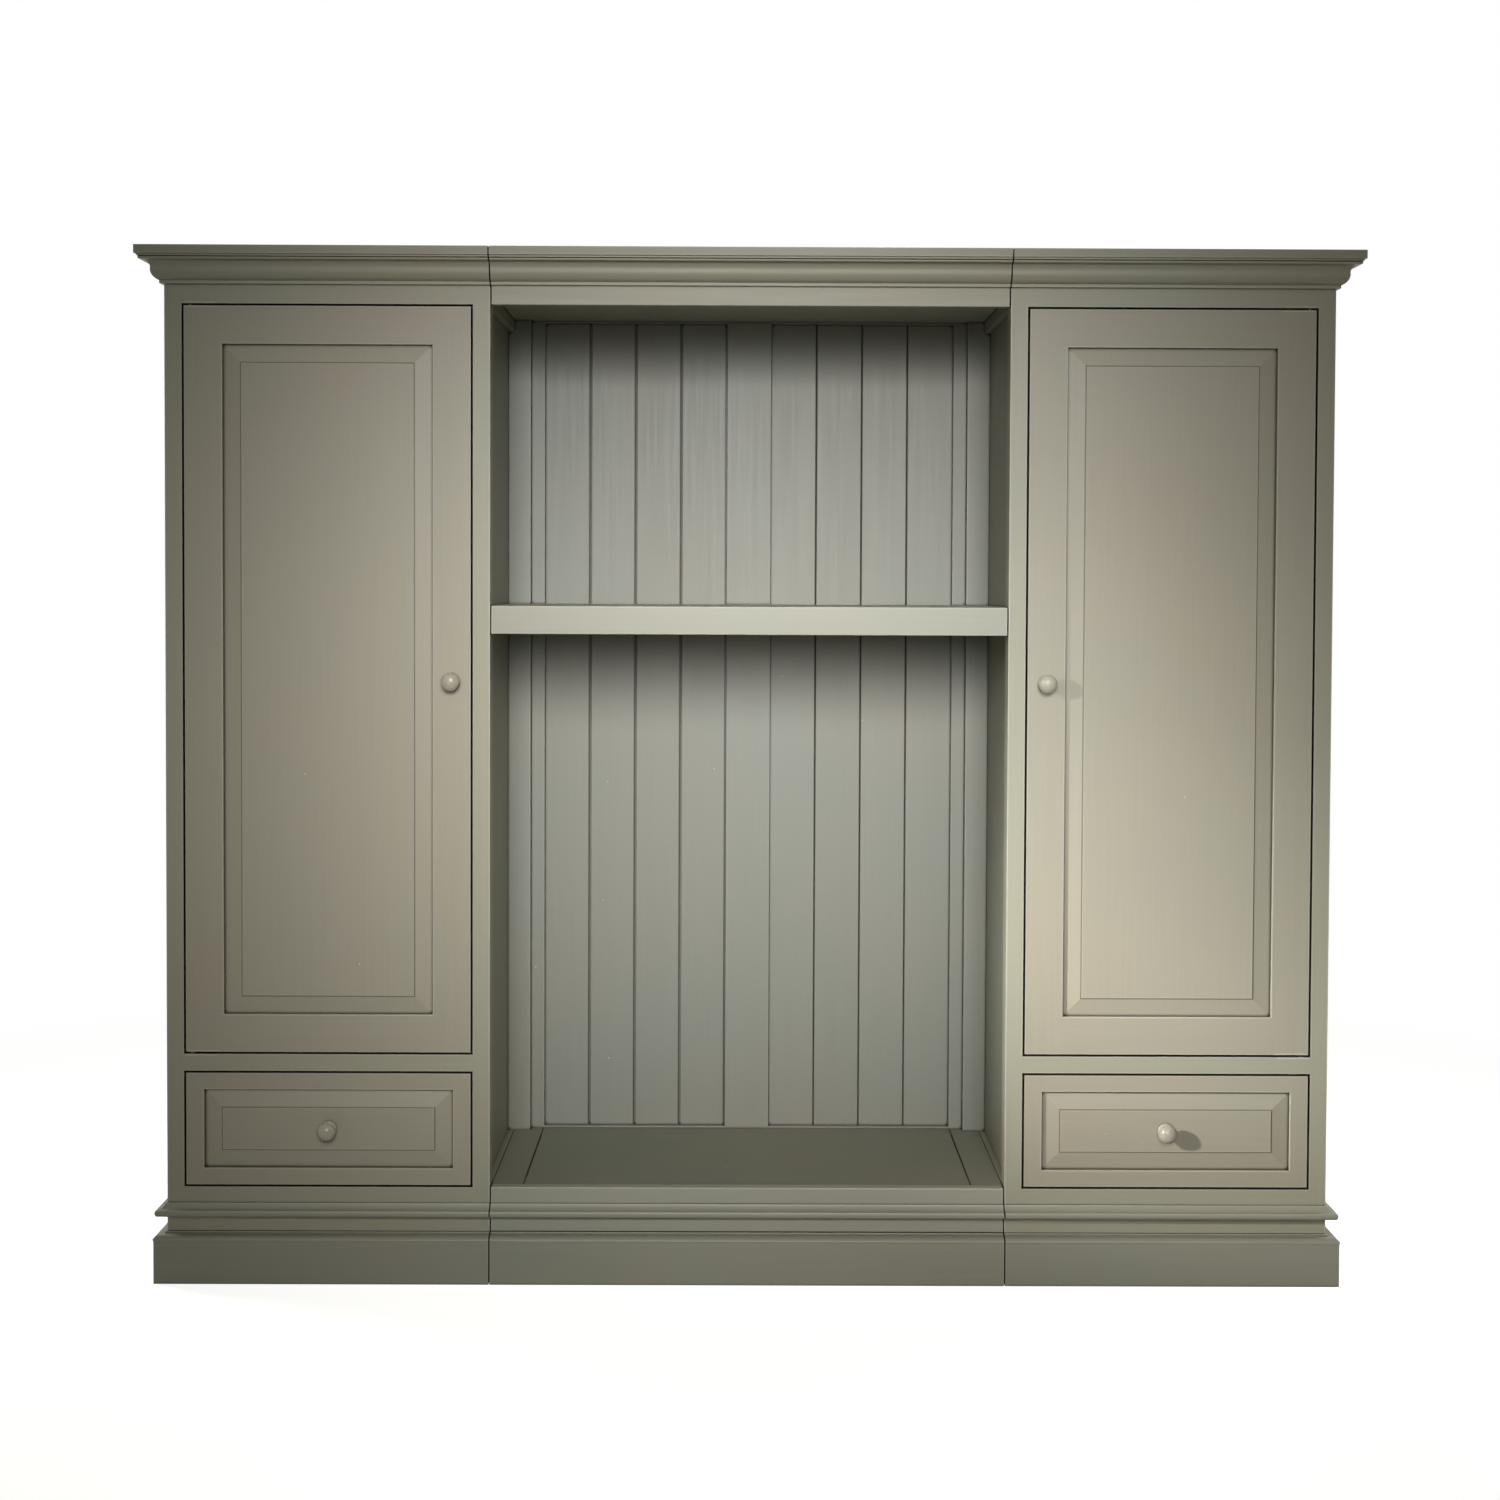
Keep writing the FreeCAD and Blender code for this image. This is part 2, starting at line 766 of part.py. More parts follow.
def bay_shelf():
    """A board with a deep lipping on its front edge, and a cleat along the back."""
    low = shelf_level - shelf_thickness
    lip_back = front_y + shelf_lipping_depth
    left, right = inner_x + shelf_end_gap, -inner_x - shelf_end_gap
    side = panel_face_x + shelf_end_gap
    lipping = box(left, right, front_y, lip_back, low, shelf_level)
    board_low = shelf_level - shelf_board_thickness
    narrow = box(left, right, lip_back, back_frame_y, board_low, shelf_level)
    wide = box(side, -side, stile_back_y + shelf_end_gap, back_frame_y, board_low, shelf_level)
    board = notched(narrow.fuse(wide).removeSplitter())
    return group([lipping, board.Solids[0]])


def shelf_cleats():
    """Cleats that carry the bay's shelf: one on each side and one on the back frame."""
    low = shelf_level - shelf_thickness
    high = shelf_level - shelf_board_thickness
    y0 = stile_back_y + shelf_end_gap
    side = box(panel_face_x, panel_face_x + shelf_cleat_width, y0, post_y, low, high)
    edge = post_inner_x + post_clearance
    rear = box(edge, -edge, back_frame_y - shelf_cleat_width, back_frame_y, low, high)
    return group([side, mirrored(side), rear])


def bay_fascia():
    return box(bay_left, bay_right, front_y, front_y + fascia_thickness, head_level, total_height)


def bay_ceiling():
    """The bay's ceiling board, the bearers on it, and the board that closes them."""
    low = ceiling_level + board_thickness
    fascia_back = front_y + fascia_thickness
    ceiling = box(bay_left, bay_right, fascia_back, back_frame_y, ceiling_level, low)
    bearers = bearer_set(fascia_back, low, top_board_level)
    cover = box(bay_left, bay_right, fascia_back, rear_y, top_board_level, total_height)
    return group([notched(ceiling)] + bearers + [notched(cover)])


def connector_bolts():
    """Bolts that draw each cupboard to the bay, with their heads inside the cupboards."""
    bolts = []
    length = bay_left + bearer_thickness - inner_face_x
    for y, z in bolt_places():
        shank = cylinder(bolt_radius, length, V(inner_face_x, y, z), V(1, 0, 0))
        head = cylinder(bolt_head_radius, bolt_head_height, V(inner_face_x - bolt_head_height, y, z), V(1, 0, 0))
        bolt = shank.fuse(head).Solids[0]
        bolts += [bolt, mirrored(bolt)]
    return group(bolts)


def cupboard_parts():
    """Every sub-part of the left cupboard by name; the right one is its mirror image."""
    door_members, door_panel = door_parts()
    drawer_members, drawer_panel = drawer_front()
    return {
        "outer_side": outer_side(),
        "inner_side": inner_side(),
        "face_frame": face_frame(),
        "top_board": top_board(),
        "cupboard_floor": cupboard_floor(),
        "base_board": base_board(),
        "back_boards": back_boards(),
        "shelves": shelves(),
        "shelf_pegs": shelf_pegs(),
        "drawer_runners": drawer_runners(),
        "plinth": plinth(),
        "base_moulding": base_moulding(),
        "cornice": cornice(),
        "pivot_pins": pivot_pins(),
        "door_frame": group(door_members),
        "door_panel": door_panel,
        "door_knob": knob(door_knob_place()),
        "pivot_sockets": pivot_sockets(),
        "drawer_frame": group(drawer_members),
        "drawer_panel": drawer_panel,
        "drawer_knob": knob(drawer_knob_place()),
        "drawer_box": drawer_box(),
        "drawer_bottom": drawer_bottom_panel(),
    }


def bay_parts():
    """Every sub-part of the open bay by name."""
    return {
        "bay_plinth": bay_plinth(),
        "bay_base_moulding": bay_base_moulding(),
        "bench_front_rail": bench_front_rail(),
        "bench_bearers": bench_bearers(),
        "bench_top": bench_top(),
        "corner_posts": corner_posts(),
        "bay_back_frame": bay_back_frame(),
        "bay_back_boards": bay_back_boards(),
        "bay_shelf": bay_shelf(),
        "shelf_cleats": shelf_cleats(),
        "bay_fascia": bay_fascia(),
        "bay_ceiling": bay_ceiling(),
        "bay_cornice": bay_cornice(),
        "connector_bolts": connector_bolts(),
    }


def main():
    os.makedirs("parts", exist_ok=True)
    parts = dict(bay_parts())
    for name, shape in cupboard_parts().items():
        parts["left_" + name] = shape
        parts["right_" + name] = mirrored(shape)
    for name, shape in parts.items():
        shape.exportStep("parts/" + name + ".step")
        print(name, len(shape.Solids), "solids", shape.isValid())


main()
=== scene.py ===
"""Finish, light and camera for a painted three-part cupboard with an open centre bay.

Metres, +Z up, front facing -Y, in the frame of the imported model.
"""
import math

import bmesh
import bpy
from mathutils import Matrix, Vector


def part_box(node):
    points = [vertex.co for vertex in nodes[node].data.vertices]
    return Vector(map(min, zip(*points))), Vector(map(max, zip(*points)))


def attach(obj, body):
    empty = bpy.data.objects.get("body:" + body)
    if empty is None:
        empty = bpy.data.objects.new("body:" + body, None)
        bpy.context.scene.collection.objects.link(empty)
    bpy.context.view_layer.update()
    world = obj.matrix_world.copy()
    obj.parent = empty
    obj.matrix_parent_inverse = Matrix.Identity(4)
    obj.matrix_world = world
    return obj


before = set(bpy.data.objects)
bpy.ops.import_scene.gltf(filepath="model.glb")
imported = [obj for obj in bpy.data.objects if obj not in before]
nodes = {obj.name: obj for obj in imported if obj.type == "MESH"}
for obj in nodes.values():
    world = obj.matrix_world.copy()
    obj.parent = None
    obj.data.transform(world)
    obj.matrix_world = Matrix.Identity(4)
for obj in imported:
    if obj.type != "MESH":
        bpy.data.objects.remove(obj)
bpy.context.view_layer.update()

MM = 0.001
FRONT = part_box("right_door_frame")[0].y
DRAWER_BOARD = 12 * MM

# Colours of the finishes, as sRGB hex; some are copies of the case paint shifted to paint in light and shade,
# as noted below
PAINT_CASE = "#A29F8B"
# The door paint is a warmer and the bay paint a greener copy of the case paint: painted tints of warmer light
# on the doors and cooler light in the bay
PAINT_DOORS_WARM_LIGHT = "#A79F8D"
PAINT_BAY_COOL_LIGHT = "#9F9F91"
# The back, bay side, bench and foot paints are darker copies of the case paint: painted shade in the recessed
# bay and low down at the foot
PAINT_BACK_SHADED = "#84857D"
PAINT_SIDES_SHADED = "#7E7E6B"
PAINT_BENCH_SHADED = "#727263"
PAINT_FOOT_SHADED = "#929283"
# The knob paint is paler than the case paint: a painted highlight for the light the knobs catch
PAINT_KNOBS_PALE_HIGHLIGHT = "#B3AD9A"
PAINT_COOL = "#9CA08F"
PAINT_WARM = "#A79F8A"
# The paler colour of the painted highlight on the arrises
PAINT_ARRIS_HIGHLIGHT = "#D0CCB8"
PRIMER = "#D8D2C2"
# The dark colour of the painted shade in joints, gaps, corners and quirks, and of the dusty joints
PAINT_SHADE_AND_DUST = "#15140F"
PINE_PALE = "#DDBB8A"
PINE_DARK = "#B98A55"
PINE_KNOT = "#7A4A26"
PINE_END_PALE = "#C79E68"
PINE_END_DARK = "#97683C"
BRASS = "#C9A35A"
ZINC = "#B4B6B8"
BLUED_STEEL = "#4A4846"
WHITE = "#FFFFFF"
FILL = "#EEE8CF"
FLOOR_PALE = "#9C9C99"
FLOOR_SHADED = "#F8F8F6"

# Widths of the eased edges on each kind of work, and the angles above which an edge stays crisp
EASE_JOINERY = 1.2 * MM
EASE_SHELF = 2.5 * MM
EASE_MOULDING = 0.7 * MM
EASE_PANEL = 0.6 * MM
EASE_FINE = 0.3 * MM
CREASE = math.radians(35)
MITRE_CREASE = math.radians(5)

# Node kinds that the finishes use most
MATH, VECTOR, MIX, RANGE = "ShaderNodeMath", "ShaderNodeVectorMath", "ShaderNodeMix", "ShaderNodeMapRange"
NOISE, CELLS, OCCLUSION = "ShaderNodeTexNoise", "ShaderNodeTexVoronoi", "ShaderNodeAmbientOcclusion"
PARTS, BUMP = "ShaderNodeSeparateXYZ", "ShaderNodeBump"
SHADER, OUTPUT = "ShaderNodeBsdfPrincipled", "ShaderNodeOutputMaterial"


def linear(colour):
    """An sRGB hex colour as linear RGBA."""
    values = [int(colour[i:i + 2], 16) / 255 for i in (1, 3, 5)]
    return [v / 12.92 if v <= 0.04045 else ((v + 0.055) / 1.055) ** 2.4 for v in values] + [1]


def add(tree, kind, *inputs, out=0, **settings):
    """Adds one node with its settings and links, and gives back one of its outputs.

    inputs are (socket, value) pairs, where a value is a number, a colour or another node's output.
    """
    node = tree.nodes.new(kind)
    for name, value in settings.items():
        setattr(node, name, value)
    for socket, value in inputs:
        if isinstance(value, bpy.types.NodeSocket):
            tree.links.new(value, node.inputs[socket])
        else:
            node.inputs[socket].default_value = value
    return node.outputs[out] if node.outputs else None


def empty_finish(name):
    """A node material with nothing in it yet, and the place of each point in the part's own frame."""
    material = bpy.data.materials.new(name)
    material.use_nodes = True
    tree = material.node_tree
    tree.nodes.clear()
    return material, tree, add(tree, "ShaderNodeTexCoord", out="Object")


def outside(tree, place, axis, span):
    """How far a point lies outside a span of (middle, half), negative inside it; x counts from the middle."""
    middle, half = span
    part = add(tree, PARTS, ("Vector", place), out="xyz".index(axis))
    if axis == "x":
        part = add(tree, MATH, (0, part), operation="ABSOLUTE")
    off = add(tree, MATH, (0, part), (1, middle), operation="SUBTRACT")
    off = add(tree, MATH, (0, off), operation="ABSOLUTE")
    return add(tree, MATH, (0, off), (1, half), operation="SUBTRACT")


def running(tree, place, spacing, length, along, rails=None, crossing="x"):
    """Place stretched so that a noise in it gives marks of this real spacing and length along each member.

    rails is one where the members run along crossing, and zero where they run along the first axis.
    """
    ways = []
    for direction in (along, crossing):
        way = [1 / spacing] * 3
        way["xyz".index(direction)] = 1 / length
        ways.append(way)
    way = ways[0]
    if rails:
        way = add(tree, MIX, (0, rails), (4, ways[0]), (5, ways[1]), out=1, data_type="VECTOR")
    return add(tree, VECTOR, (0, place), (1, way), operation="MULTIPLY")


def rails_between(tree, place, x_span, z_span=None):
    """One on the rails, which lie between the stiles and, where z_span is given, above and below it."""
    across = add(tree, MATH, (0, outside(tree, place, "x", x_span)), (1, 0), operation="LESS_THAN")
    if not z_span:
        return across
    ends = add(tree, MATH, (0, outside(tree, place, "z", z_span)), (1, 0), operation="GREATER_THAN")
    return add(tree, MATH, (0, across), (1, ends), operation="MULTIPLY")


def eggshell(name, paint=PAINT_CASE, along="z", rails=None, boards=None, lines=(), arris_highlight=0.6, gloss=(0.42, 0.5)):
    """Eggshell paint brushed on timber by hand, in a sage grey.

    To the eye it is an even satin coat: long faint brush marks that follow each member, a slow drift between
    a greener and a warmer grey, a painted highlight on the arrises, painted shade in the joints, gaps, corners
    and quirks, and a few pin-head chips. rails holds the spans of the members that run across, and boards is
    (start, width) of matched boards that each took the paint a little differently, with dark joints. lines are
    gaps, creases and joints drawn dark: each is either side of an x span, or the outline of an x and a z span
    on the front, with the half width and the depth of the darkening. The argument after lines sets the strength
    of the painted highlight on the arrises.
    """
    material, tree, place = empty_finish(name)
    crossing = rails_between(tree, place, *rails) if rails else None

    # Brush marks are about 1.5 mm apart on the real coat, drawn at 5 mm so that they show
    stroke = running(tree, place, 5 * MM, 260 * MM, along, crossing)
    marks = add(tree, NOISE, ("Vector", stroke), ("Scale", 1), ("Detail", 3), ("Roughness", 0.6))
    streak = add(tree, RANGE, ("Value", marks), ("From Min", 0.3), ("From Max", 0.7))

    # The coat drifts between two greys over about 350 mm, round the paint's own colour
    drift = add(tree, NOISE, ("Vector", place), ("Scale", 1 / 0.35), ("Detail", 2))
    drift = add(tree, RANGE, ("Value", drift), ("From Min", 0.35), ("From Max", 0.65))
    colour = add(tree, MIX, (0, drift), (6, linear(PAINT_COOL)), (7, linear(PAINT_WARM)), out=2,
                 data_type="RGBA")
    colour = add(tree, MIX, (0, 0.7), (6, colour), (7, linear(paint)), out=2, data_type="RGBA")
    shade = add(tree, RANGE, ("Value", streak), ("To Min", 0.975), ("To Max", 1.02))
    if boards:
        start, board_width = boards
        x = add(tree, PARTS, ("Vector", place))
        steps = add(tree, MATH, (0, x), (1, start), operation="SUBTRACT")
        steps = add(tree, MATH, (0, steps), (1, board_width), operation="DIVIDE")
        count = add(tree, MATH, (0, steps), operation="FLOOR")
        chance = add(tree, "ShaderNodeTexWhiteNoise", ("W", count), noise_dimensions="1D")
        tone = add(tree, RANGE, ("Value", chance), ("To Min", 0.97), ("To Max", 1.02))
        shade = add(tree, MATH, (0, shade), (1, tone), operation="MULTIPLY")
        from_start = add(tree, MATH, (0, x), (1, start), operation="SUBTRACT")
        from_joint = add(tree, MATH, (0, from_start), (1, board_width / 2), operation="PINGPONG")
    colour = add(tree, VECTOR, (0, colour), ("Scale", shade), operation="SCALE")

    # Chips 2 to 3 mm across, about two to a square metre
    spots = add(tree, CELLS, ("Vector", place), ("Scale", 1 / 0.12), ("Randomness", 1), out="Distance")
    chip = add(tree, MATH, (0, spots), (1, 1.5 / 120), operation="LESS_THAN")
    colour = add(tree, MIX, (0, chip), (6, colour), (7, linear(PRIMER)), out=2, data_type="RGBA")

    # Painted highlight: within about 2 mm of an arris the colour turns paler, where eased edges catch the light
    arris = add(tree, OCCLUSION, ("Distance", 3 * MM), out="AO", samples=8, inside=True, only_local=True)
    painted_highlight = add(tree, RANGE, ("Value", arris), ("From Min", 0.98), ("From Max", 0.78), ("To Max", arris_highlight))
    colour = add(tree, MIX, (0, painted_highlight), (6, colour), (7, linear(PAINT_ARRIS_HIGHLIGHT)), out=2, data_type="RGBA")

    # Painted shade: ambient occlusion darkens the paint within a few millimetres of a joint, gap, corner or
    # quirk, where shade falls, and the board joints and listed lines add their dark lines
    painted_shade_ao = add(tree, OCCLUSION, ("Distance", 9 * MM), out="AO", samples=8)
    painted_shade_and_dust = add(tree, RANGE, ("Value", painted_shade_ao), ("From Min", 0.78), ("From Max", 0.42), ("To Max", 0.98))
    if boards:
        joint = add(tree, RANGE, ("Value", from_joint), ("From Min", 2 * MM), ("From Max", 0.8 * MM),
                    ("To Max", 0.9))
        painted_shade_and_dust = add(tree, MATH, (0, painted_shade_and_dust), (1, joint), operation="MAXIMUM")
    # The listed lines add painted shade along gaps and creases, and dusty dark joints
    for x_span, z_span, width, depth in lines:
        off = outside(tree, place, "x", x_span)
        if z_span:
            off = add(tree, MATH, (0, off), (1, outside(tree, place, "z", z_span)), operation="MAXIMUM")
        off = add(tree, MATH, (0, off), operation="ABSOLUTE")
        line = add(tree, RANGE, ("Value", off), ("From Min", width), ("From Max", width * 0.6),
                   ("To Max", depth))
        if z_span:
            y = add(tree, PARTS, ("Vector", place), out=1)
            at_front = add(tree, MATH, (0, y), (1, FRONT + 3 * MM), operation="LESS_THAN")
            line = add(tree, MATH, (0, line), (1, at_front), operation="MULTIPLY")
        painted_shade_and_dust = add(tree, MATH, (0, painted_shade_and_dust), (1, line), operation="MAXIMUM")
    colour = add(tree, MIX, (0, painted_shade_and_dust), (6, colour), (7, linear(PAINT_SHADE_AND_DUST)), out=2, data_type="RGBA")

    # The brush leaves ridges of about 0.05 mm over a faint orange peel of 1 mm, drawn at 4 mm
    peel = add(tree, NOISE, ("Vector", place), ("Scale", 1 / (4 * MM)), ("Detail", 2))
    height = add(tree, MIX, (0, 0.35), (2, marks), (3, peel))
    bump = add(tree, BUMP, ("Strength", 0.25), ("Distance", 0.08 * MM), ("Height", height))
    low, high = gloss
    roughness = add(tree, RANGE, ("Value", streak), ("To Min", low), ("To Max", high))
    coated = add(tree, SHADER, ("Base Color", colour), ("Roughness", roughness), ("Normal", bump), ("IOR", 1.5))
    add(tree, OUTPUT, ("Surface", coated))
    return material


def pine(name, along="y", rails=None, pale=PINE_PALE, dark=PINE_DARK):
    """Planed softwood left bare.

    To the eye: straw-coloured early wood with darker late-wood lines 4 to 8 mm apart, a few brown knots,
    and no shine.
    """
    material, tree, place = empty_finish(name)
    crossing = rails_between(tree, place, *rails) if rails else None
    growth = running(tree, place, 9 * MM, 420 * MM, along, crossing)
    grain = add(tree, NOISE, ("Vector", growth), ("Scale", 0.6), ("Detail", 4), ("Roughness", 0.55),
                ("Distortion", 0.4))
    bands = add(tree, MATH, (0, grain), (1, 26), operation="MULTIPLY")
    lines = add(tree, MATH, (0, bands), operation="SINE")
    late = add(tree, RANGE, ("Value", lines), ("From Min", -0.2), ("From Max", 1))
    colour = add(tree, MIX, (0, late), (6, linear(pale)), (7, linear(dark)), out=2, data_type="RGBA")
    knots = add(tree, CELLS, ("Vector", place), ("Scale", 1 / 0.22), ("Randomness", 1), out="Distance")
    knot = add(tree, RANGE, ("Value", knots), ("From Min", 0.06), ("From Max", 0.03))
    colour = add(tree, MIX, (0, knot), (6, colour), (7, linear(PINE_KNOT)), out=2, data_type="RGBA")
    bump = add(tree, BUMP, ("Strength", 0.3), ("Distance", 0.1 * MM), ("Height", late))
    roughness = add(tree, RANGE, ("Value", late), ("To Min", 0.68), ("To Max", 0.58))
    coated = add(tree, SHADER, ("Base Color", colour), ("Roughness", roughness), ("Normal", bump), ("IOR", 1.5))
    add(tree, OUTPUT, ("Surface", coated))
    return material


def drawn_metal(name, metal, roughness):
    """Turned brass, or rolled steel that is plated with zinc or blued, with a fine drawn finish.

    To the eye: a soft metallic shine broken by fine lines, 0.2 mm apart on the real metal and drawn at
    0.6 mm, and slight cloudiness.
    """
    material, tree, place = empty_finish(name)
    drawn = running(tree, place, 0.6 * MM, 30 * MM, "x")
    lines = add(tree, NOISE, ("Vector", drawn), ("Scale", 1), ("Detail", 3))
    cloud = add(tree, NOISE, ("Vector", place), ("Scale", 1 / 0.02), ("Detail", 3))
    tone = add(tree, RANGE, ("Value", cloud), ("To Min", 0.88), ("To Max", 1.06))
    colour = add(tree, VECTOR, (0, linear(metal)[:3]), ("Scale", tone), operation="SCALE")
    bump = add(tree, BUMP, ("Strength", 0.2), ("Distance", 0.03 * MM), ("Height", lines))
    rough = add(tree, RANGE, ("Value", lines), ("To Min", roughness - 0.06), ("To Max", roughness + 0.08))
    polished = add(tree, SHADER, ("Base Color", colour), ("Metallic", 1), ("Roughness", rough),
                   ("Normal", bump))
    add(tree, OUTPUT, ("Surface", polished))
    return material


def crease_group(name, limit):
    """A node group that makes faces smooth and keeps edges sharper than the limit crisp."""
    group = bpy.data.node_groups.new(name, "GeometryNodeTree")
    group.interface.new_socket("Geometry", in_out="INPUT", socket_type="NodeSocketGeometry")
    group.interface.new_socket("Geometry", in_out="OUTPUT", socket_type="NodeSocketGeometry")
    start = add(group, "NodeGroupInput")
    faces = add(group, "GeometryNodeSetShadeSmooth", ("Geometry", start), ("Shade Smooth", True))
    angle = add(group, "GeometryNodeInputMeshEdgeAngle")
    flat = add(group, "FunctionNodeCompare", (0, angle), (1, limit), data_type="FLOAT", operation="LESS_THAN")
    edges = add(group, "GeometryNodeSetShadeSmooth", ("Geometry", faces), ("Shade Smooth", flat), domain="EDGE")
    add(group, "NodeGroupOutput", (0, edges))
    return group


def eased(piece, width, crease, joined=True):
    """Eases a piece's edges as sandpaper and paint do; flush joints are filled first, so none shows."""
    if joined:
        union = piece.modifiers.new("filled_joints", "BOOLEAN")
        union.operand_type = "COLLECTION"
        union.solver = "EXACT"
        union.use_self = True
        union.operation = "UNION"
        flat = piece.modifiers.new("one_face_each", "DECIMATE")
        flat.decimate_type = "DISSOLVE"
        flat.angle_limit = math.radians(0.5)
    else:
        weld = piece.modifiers.new("closed", "WELD")
        weld.merge_threshold = MM / 1000
    bevel = piece.modifiers.new("eased_edges", "BEVEL")
    bevel.width = width
    bevel.segments = 2
    bevel.limit_method = "ANGLE"
    bevel.angle_limit = CREASE
    bevel.use_clamp_overlap = width <= EASE_FINE
    smooth = piece.modifiers.new("smooth_below_crease", "NODES")
    smooth.node_group = crease
    weighted = piece.modifiers.new("flat_faces_flat", "WEIGHTED_NORMAL")
    weighted.keep_sharp = True


def coat(piece, material):
    """Gives a piece one finish."""
    piece.data.materials.clear()
    piece.data.materials.append(material)


def span(low, high):
    """A stretch as its middle and half its length."""
    return (low + high) / 2, (high - low) / 2


def box_spans(node, margin=0):
    """The x and z spans of a right-hand node, drawn in by a margin; a margin below zero widens them."""
    low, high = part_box(node)
    return span(low.x + margin, high.x - margin), span(low.z + margin, high.z - margin)


def finish_all():
    """Gives every carried-over node its finish and its eased edges, and gives back the plated steel."""
    crease = crease_group("smooth_below_crease", CREASE)
    crisp = crease_group("crisp_mitres", MITRE_CREASE)
    tongue = 8 * MM
    field_margin = tongue + 35 * MM
    half_gap = 1.5 * MM
    gap_line, foot_line, joint_line = 2.9 * MM, 1.4 * MM, 2 * MM
    muntin_half = 47 * MM
    bench_end = 61.5 * MM
    door_opening, _ = box_spans("right_door_panel", tongue)
    drawer_opening, _ = box_spans("right_drawer_panel", tongue)
    doorway, _ = box_spans("right_door_frame")
    inside_drawer, _ = box_spans("right_drawer_box", DRAWER_BOARD + MM / 2)
    boards_low, boards_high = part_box("bay_back_boards")
    _, bench_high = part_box("bench_top")
    right_low, right_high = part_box("right_back_boards")

    # Painted shade along the door and drawer gaps and at the feet of the raised fields, and dusty dark joints
    # between the units and at the ends of the bench top
    door_gap_shade = (*box_spans("right_door_frame", -half_gap), gap_line, 1)
    drawer_gap_shade = (*box_spans("right_drawer_frame", -half_gap), gap_line, 1)
    door_foot_shade = (*box_spans("right_door_panel", field_margin), foot_line, 0.6)
    drawer_foot_shade = (*box_spans("right_drawer_panel", field_margin), foot_line, 0.6)
    unit_joint = ((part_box("right_plinth")[0].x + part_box("bay_plinth")[1].x) / 2, 0), None, joint_line, 1
    bench_joint = (bench_high.x - bench_end, 0), None, joint_line, 1

    upright = eggshell("eggshell_upright")
    level = eggshell("eggshell_level", along="x", lines=[unit_joint], arris_highlight=0.35)
    # The foot takes a darker copy of the case paint as painted shade low down
    foot = eggshell("eggshell_foot_shaded", PAINT_FOOT_SHADED, along="x", lines=[unit_joint], arris_highlight=0.35)
    face = eggshell("eggshell_face_frame", rails=[doorway], lines=[door_gap_shade, drawer_gap_shade])
    # The doors and drawers take a warmer copy of the case paint as a painted tint of warmer light
    door = eggshell("eggshell_door_frame", PAINT_DOORS_WARM_LIGHT, rails=[door_opening], lines=[door_gap_shade])
    door_field = eggshell("eggshell_door_panel", PAINT_DOORS_WARM_LIGHT, lines=[door_foot_shade], arris_highlight=0.3)
    drawer = eggshell("eggshell_drawer_frame", PAINT_DOORS_WARM_LIGHT, rails=[drawer_opening], lines=[drawer_gap_shade])
    drawer_field = eggshell("eggshell_drawer_panel", PAINT_DOORS_WARM_LIGHT, along="x", lines=[drawer_foot_shade], arris_highlight=0.3)
    # The knobs take a paler paint as a painted highlight for the light they catch
    knob = eggshell("eggshell_knob", PAINT_KNOBS_PALE_HIGHLIGHT, along="y", gloss=(0.26, 0.32))
    # The bay's sides, back and bench take darker copies of the case paint as painted shade in the recess
    bay_side = eggshell("eggshell_bay_side_shaded", PAINT_SIDES_SHADED, arris_highlight=0.3)
    bay_upright = eggshell("eggshell_bay_upright_shaded", PAINT_BACK_SHADED, arris_highlight=0.2)
    # The bay's shelf, rail, cleats and ceiling take a greener copy as a painted tint of cooler light
    bay_level = eggshell("eggshell_bay_level", PAINT_BAY_COOL_LIGHT, along="x")
    back = eggshell("eggshell_back_frame_shaded", PAINT_BACK_SHADED, arris_highlight=0.1,
                    rails=[(0, boards_high.x), span(boards_low.z, boards_high.z)])
    bench = eggshell("eggshell_bench_shaded", PAINT_BENCH_SHADED, along="y", rails=[(0, bench_high.x - bench_end)],
                     lines=[bench_joint], arris_highlight=0, gloss=(0.55, 0.62))
    bay_boards = eggshell("eggshell_bay_boards_shaded", PAINT_BACK_SHADED, arris_highlight=0.1,
                          boards=(muntin_half, (boards_high.x - muntin_half) / 4))
    right_boards = eggshell("eggshell_cupboard_boards", boards=(right_low.x, (right_high.x - right_low.x) / 6))
    box_pine = pine("pine_drawer_box", rails=[inside_drawer])
    strip_pine = pine("pine_strips")
    board_pine = pine("pine_boards", along="x")
    brass = drawn_metal("turned_brass", BRASS, 0.3)
    zinc = drawn_metal("zinc_plated_steel", ZINC, 0.38)
    blued = drawn_metal("blued_steel", BLUED_STEEL, 0.45)

